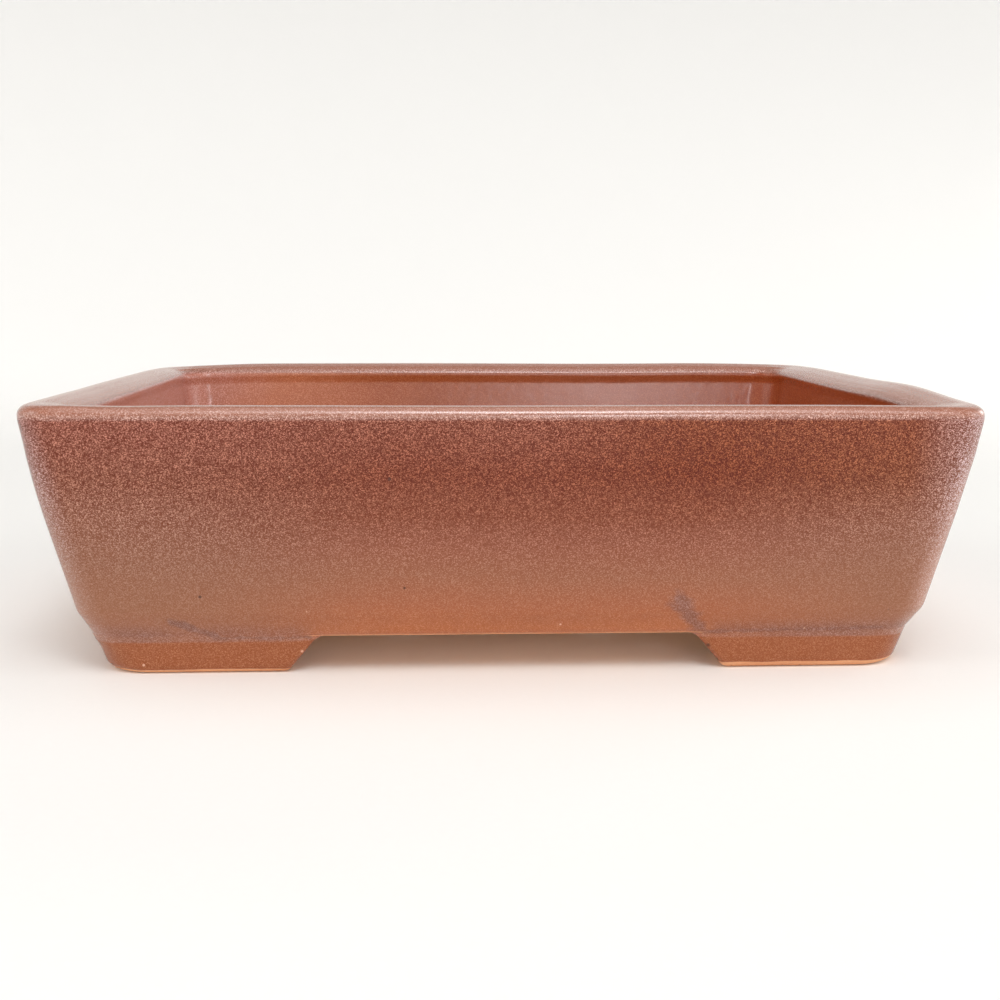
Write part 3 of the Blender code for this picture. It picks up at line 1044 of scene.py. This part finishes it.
def build_camera():
    camera_data = bpy.data.cameras.new("camera")
    camera_data.lens = CAMERA_LENS
    camera_data.sensor_width = 36
    camera = bpy.data.objects.new("camera", camera_data)
    bpy.context.scene.collection.objects.link(camera)
    forward = Vector(
        (
            -math.sin(CAMERA_YAW) * math.cos(CAMERA_PITCH),
            math.cos(CAMERA_YAW) * math.cos(CAMERA_PITCH),
            math.sin(CAMERA_PITCH),
        )
    )
    right = forward.cross(Vector((0, 0, 1))).normalized()
    up = right.cross(forward)
    turned_right = right * math.cos(CAMERA_ROLL) + up * math.sin(CAMERA_ROLL)
    turned_up = up * math.cos(CAMERA_ROLL) - right * math.sin(CAMERA_ROLL)
    turn = Matrix((turned_right, turned_up, -forward)).transposed()
    camera.matrix_world = Matrix.Translation(CAMERA_PLACE) @ turn.to_4x4()
    bpy.context.scene.camera = camera


def build_stage():
    """A wide pale bowl of paper: flat under the pot, and curving up all round."""
    flat, edge, steepness = 0.45, 2.6, 0.37
    rise = [(r, steepness * (r - flat) ** 2) for r in np.linspace(flat, edge, 40)]
    outline = [(0, 0), *rise, (edge + 0.02, rise[-1][1]), (edge + 0.02, -0.05), (0, -0.05)]
    mesh = lathe("studio_bowl", outline, 96)
    mesh.shade_smooth()
    mesh.set_sharp_from_angle(angle=math.radians(50))
    mesh.materials.append(paper_material())
    bowl = bpy.data.objects.new("studio_bowl", mesh)
    bpy.context.scene.collection.objects.link(bowl)


def add_softbox(name, place, size, radiance, colour):
    """A soft rectangular light that faces the pot and isn't itself in view."""
    light = bpy.data.lights.new(name, "AREA")
    light.shape = "RECTANGLE"
    light.size, light.size_y = size
    light.energy = radiance * math.pi * size[0] * size[1]
    light.color = colour
    lamp = bpy.data.objects.new(name, light)
    lamp.location = place
    lamp.rotation_euler = (-Vector(place)).to_track_quat("-Z", "Y").to_euler()
    lamp.visible_camera = False
    bpy.context.scene.collection.objects.link(lamp)


WHITE = (1, 1, 1)
# Softboxes: (name, place, size, radiance, colour)
SOFTBOXES = [
    ("key", (0.14, -1.0, 1.45), (1.3, 1.1), 2.45, WHITE),
    ("overhead", (-0.05, 0.1, 1.6), (1.3, 1.2), 0.9, WHITE),
    ("left_panel", (-1.3, -0.3, 0.9), (1.0, 0.8), 1.4, WHITE),
    ("right_panel", (1.3, -0.3, 0.9), (1.0, 0.8), 1.4, WHITE),
    ("strip", (0.11, -0.8, 1.1), (0.34, 0.4), 8.0, (0.93, 0.96, 1.0)),
    ("window", (0.205, -1.15, 0.36), (0.2, 0.2), 8.0, (0.93, 0.95, 1.0)),
    ("side_window", (1.0, 0.57, 0.34), (0.3, 0.3), 4.0, WHITE),
    ("right_window", (1.2, -0.21, 0.28), (0.3, 0.2), 4.0, (0.92, 0.92, 1.0)),
]


def build_lights():
    world = bpy.data.worlds.new("studio")
    world.use_nodes = True
    background = world.node_tree.nodes["Background"]
    background.inputs["Color"].default_value = (1.0, 0.995, 0.985, 1)
    background.inputs["Strength"].default_value = 0.28
    bpy.context.scene.world = world
    for name, place, size, radiance, colour in SOFTBOXES:
        add_softbox(name, place, size, radiance, colour)


def main():
    bpy.context.scene.view_settings.view_transform = "Standard"
    build_camera()
    build_stage()
    build_lights()
    glaze = glaze_material()
    clay = clay_material()
    plastic = plastic_material()
    metal = wire_material()
    build_body(glaze)
    build_floor(clay)
    for y_name, sign_y in (("front", -1), ("back", 1)):
        for x_name, sign_x in (("left", -1), ("right", 1)):
            build_foot(f"foot_{y_name}_{x_name}", sign_x, sign_y, glaze)
    for side, sign in (("left", -1), ("right", 1)):
        build_screen(side, plastic)
        build_clip(side, sign, metal)


main()
